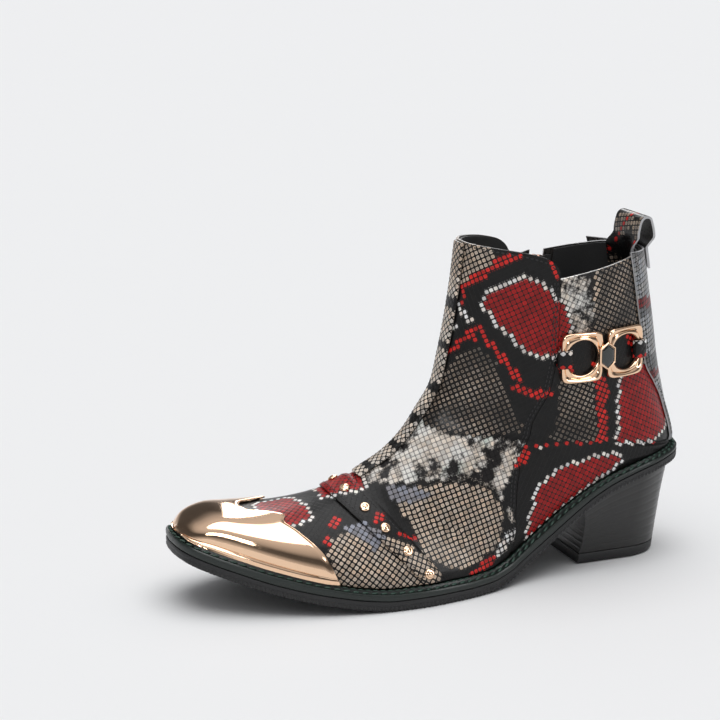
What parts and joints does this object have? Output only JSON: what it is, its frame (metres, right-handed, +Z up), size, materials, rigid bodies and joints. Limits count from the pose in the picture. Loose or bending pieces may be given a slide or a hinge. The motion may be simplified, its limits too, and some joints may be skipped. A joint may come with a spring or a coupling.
{
  "type": "cowboy boot",
  "caption": "Left cowboy ankle boot of scale-embossed leather, side zip, stacked block heel, polished metal toe cap, studded strap and ring-link side ornament.",
  "frame": {"origin": "middle of the boot's own box, on the floor", "axes": "+Z up, -Y to the toe and +Y to the heel, +X to the outer (lateral) side of this left boot"},
  "size_m": [0.0996, 0.306, 0.1987],
  "materials": {
    "outsole_rubber": "black rubber, satin",
    "welt": "very dark green leather with lighter green lockstitch",
    "stacked_heel": "black stacked leather, satin",
    "steel": "plain steel",
    "board": "pressed fibre board",
    "cork": "cork filler",
    "lining": "black lining leather, matt",
    "vamp_leather": "printed scale-embossed leather in black, grey, mint, tan and red",
    "stiffener": "thermoplastic stiffener sheet",
    "rose_gold": "polished rose gold",
    "snakeskin": "glossy scale-embossed leather printed in black, deep red, white and tan",
    "black_leather": "black scale-embossed leather with light raw edges",
    "back_strip": "grey and silver scale-embossed leather with light raw edges",
    "enamel": "black-green enamel",
    "zip_textile": "black woven tape and nylon coil"
  },
  "bodies": {
    "boot": {"outsole": "outsole_rubber", "welt": "welt", "heel_block": "stacked_heel", "heel_top_lift": "outsole_rubber", "heel_screw": "steel", "insole_board": "board", "sock_liner": "lining", "forefoot_filler": "cork", "shank": "steel", "vamp": "vamp_leather", "toe_puff": "stiffener", "toe_cap": "rose_gold", "vamp_lining": "lining", "lateral_front_panel": "snakeskin", "medial_front_panel": "snakeskin", "lateral_quarter": "snakeskin", "medial_quarter_front": "snakeskin", "medial_quarter_rear": "snakeskin", "heel_counter_lateral": "stiffener", "heel_counter_medial": "stiffener", "lateral_lining": "lining", "medial_lining_front": "lining", "medial_lining_rear": "lining", "front_stay": "black_leather", "vamp_strap": "snakeskin", "strap_stud_1": "rose_gold", "strap_stud_2": "rose_gold", "strap_stud_3": "rose_gold", "strap_stud_4": "rose_gold", "strap_stud_5": "rose_gold", "strap_stud_6": "rose_gold", "strap_stud_7": "rose_gold", "strap_stud_8": "rose_gold", "strap_stud_9": "rose_gold", "strap_stud_10": "rose_gold", "back_strip": "back_strip", "pull_loop": "snakeskin", "ornament_front_link": "rose_gold", "ornament_rear_link": "rose_gold", "ornament_hexagon": "rose_gold", "ornament_enamel": "enamel", "front_strap_tab": "snakeskin", "rear_strap_tab": "black_leather", "zip_tape_front": "zip_textile", "zip_tape_rear": "zip_textile", "zip_coil_front": "zip_textile", "zip_coil_rear": "zip_textile", "zip_top_stop_front": "rose_gold", "zip_top_stop_rear": "rose_gold", "zip_bottom_stop": "rose_gold"},
    "zip_slider": {"zip_slider": "rose_gold"},
    "pull_tab": {"zip_pull_tab": "rose_gold"}
  },
  "joints": [
    {"name": "zip_slide", "type": "slide", "parent": "boot", "child": "zip_slider", "axis": [0.0108, -0.1276, -0.9918], "range_m": [0, 0.1]},
    {"name": "pull_tab_hinge", "type": "hinge", "parent": "zip_slider", "child": "pull_tab", "pos_m": [-0.03778, 0.07679, 0.1644], "axis": [0, 0.9918, -0.1276], "range_deg": [0, 150]}
  ]
}
